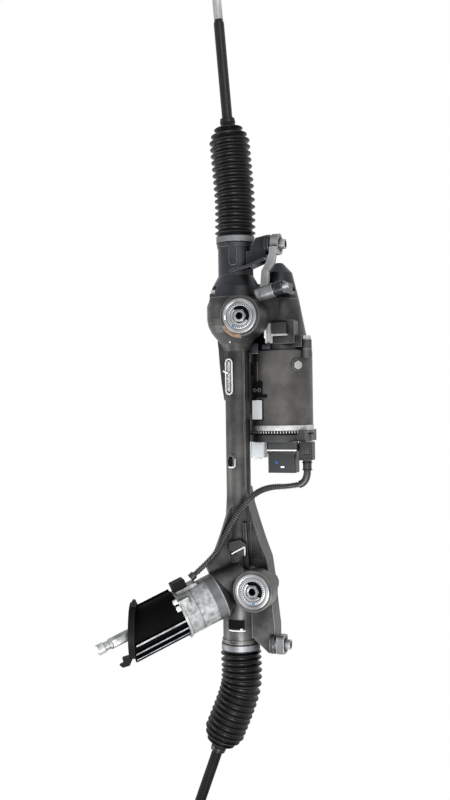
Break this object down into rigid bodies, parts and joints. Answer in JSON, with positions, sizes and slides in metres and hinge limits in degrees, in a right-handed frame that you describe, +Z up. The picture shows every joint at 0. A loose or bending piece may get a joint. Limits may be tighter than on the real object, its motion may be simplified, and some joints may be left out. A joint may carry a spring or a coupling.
{
  "type": "steering rack",
  "caption": "Electric power steering rack with a belt drive motor beside the tube, a pinion tower with column boot, bellows and tie rods",
  "frame": {"origin": "on the axis of the upper mounting bush, level with the top face of the bush", "axes": "+Y along the rack bar towards the gear case end, +X towards the motor, +Z up along the mounting bushes"},
  "size_m": [0.2873, 1.3646, 0.253],
  "materials": {
    "cast_alloy": "as-cast mid grey, slightly rough",
    "case_alloy": "as-cast blue grey, slightly rough",
    "motor_alloy": "brownish grey, matt",
    "bracket_steel": "light grey coating",
    "zinc_steel": "zinc plated",
    "bright_steel": "machined",
    "black_steel": "black, satin",
    "mount_rubber": "matt black",
    "bellows_rubber": "satin black",
    "boot_rubber": "satin black",
    "belt_rubber": "matt black",
    "black_plastic": "moulded black",
    "conduit_plastic": "corrugated black",
    "cover_alloy": "dark grey, matt",
    "pale_plastic": "pale, matt",
    "winding_copper": "wound copper and laminations",
    "yoke_alloy": "machined"
  },
  "bodies": {
    "housing": {"rack_housing": "cast_alloy", "drive_housing": "case_alloy", "case_bolts": "zinc_steel", "motor_bolts": "zinc_steel", "support_bracket": "bracket_steel", "bracket_bolt": "zinc_steel", "angle_bracket": "zinc_steel", "bracket_block": "black_plastic", "bush_shells": "bright_steel", "bush_rubbers": "mount_rubber", "bush_cores": "bright_steel", "side_mount_blocks": "black_plastic", "side_rubbers": "mount_rubber", "side_washers": "bracket_steel", "side_sleeves": "bright_steel", "motor_case": "motor_alloy", "ground_screw": "zinc_steel", "stator": "winding_copper", "rotor_bearings": "bright_steel", "drive_belt": "belt_rubber", "ring_band": "zinc_steel", "control_cover": "cover_alloy", "power_connector": "black_plastic", "capped_connector": "pale_plastic", "sensor_plug": "black_plastic", "sensor_cable": "conduit_plastic", "cable_plug": "black_plastic", "rack_bush": "black_plastic", "end_stops": "bright_steel", "pinion_bearings": "bright_steel", "sensor_housing": "cast_alloy", "torque_sensor": "black_plastic", "tower_connector": "black_plastic", "input_seal": "mount_rubber", "column_boot": "boot_rubber", "bulkhead_plate": "black_plastic", "yoke": "yoke_alloy", "yoke_o_ring": "mount_rubber", "yoke_spring": "bright_steel", "yoke_plug": "black_steel", "nut_bearing": "bright_steel", "bearing_retainer": "bright_steel", "upper_bellows": "bellows_rubber", "lower_bellows": "bellows_rubber", "bellows_clamps": "zinc_steel"},
    "rack": {"rack_bar": "bright_steel", "ball_sockets": "bright_steel"},
    "pinion": {"pinion": "bright_steel", "torsion_bar": "bright_steel"},
    "input": {"input_shaft": "bright_steel"},
    "nut": {"ball_nut": "bright_steel", "nut_pulley": "bright_steel"},
    "motor_rotor": {"rotor": "bright_steel", "motor_pulley": "bright_steel"},
    "upper_seat": {"upper_ball_seat": "pale_plastic"},
    "lower_seat": {"lower_ball_seat": "pale_plastic"},
    "upper_rod": {"upper_tie_rod": "black_steel", "upper_rod_clamp": "zinc_steel"},
    "lower_rod": {"lower_tie_rod": "black_steel", "lower_rod_clamp": "zinc_steel"}
  },
  "joints": [
    {"name": "motor_spin", "type": "hinge", "parent": "housing", "child": "motor_rotor", "pos_m": [0.0287, 0.0098, -0.1095], "axis": [0, 1, 0], "range_deg": [-9684, 9684]},
    {"name": "rack_slide", "type": "slide", "parent": "housing", "child": "rack", "axis": [0, 1, 0], "range_m": [-0.072, 0.072], "deforming": ["upper_bellows", "lower_bellows"]},
    {"name": "nut_spin", "type": "hinge", "parent": "housing", "child": "nut", "pos_m": [-0.0243, 0.0098, -0.061], "axis": [0, 1, 0], "range_deg": [-3705, 3705]},
    {"name": "pinion_turn", "type": "hinge", "parent": "housing", "child": "pinion", "pos_m": [-0.01579, -0.3822, -0.04858], "axis": [-0.7578, -0.3955, 0.5189], "range_deg": [-560, 560]},
    {"name": "input_twist", "type": "hinge", "parent": "pinion", "child": "input", "pos_m": [-0.01579, -0.3822, -0.04858], "axis": [-0.7578, -0.3955, 0.5189], "range_deg": [-4.5, 4.5], "stiffness_Nm_per_rad": 115},
    {"name": "upper_ball_swing", "type": "hinge", "parent": "rack", "child": "upper_seat", "pos_m": [-0.0243, 0.1728, -0.061], "axis": [0, 0, 1], "range_deg": [-26.5, 17.5]},
    {"name": "lower_ball_swing", "type": "hinge", "parent": "rack", "child": "lower_seat", "pos_m": [-0.0243, -0.5432, -0.061], "axis": [0, 0, 1], "range_deg": [-1.8, 42.2]},
    {"name": "upper_ball_lift", "type": "hinge", "parent": "upper_seat", "child": "upper_rod", "pos_m": [-0.0243, 0.1728, -0.061], "axis": [0.9969, 0.0785, 0], "range_deg": [-18, 18]},
    {"name": "lower_ball_lift", "type": "hinge", "parent": "lower_seat", "child": "lower_rod", "pos_m": [-0.0243, -0.5432, -0.061], "axis": [-0.9385, 0.3453, 0], "range_deg": [-18, 18]}
  ],
  "couplings": [
    {"joint": "rack_slide", "follows": "motor_spin", "m_per_rad": 0.00042597},
    {"joint": "nut_spin", "follows": "motor_spin", "ratio": 0.38235},
    {"joint": "pinion_turn", "follows": "motor_spin", "ratio": -0.057564}
  ]
}
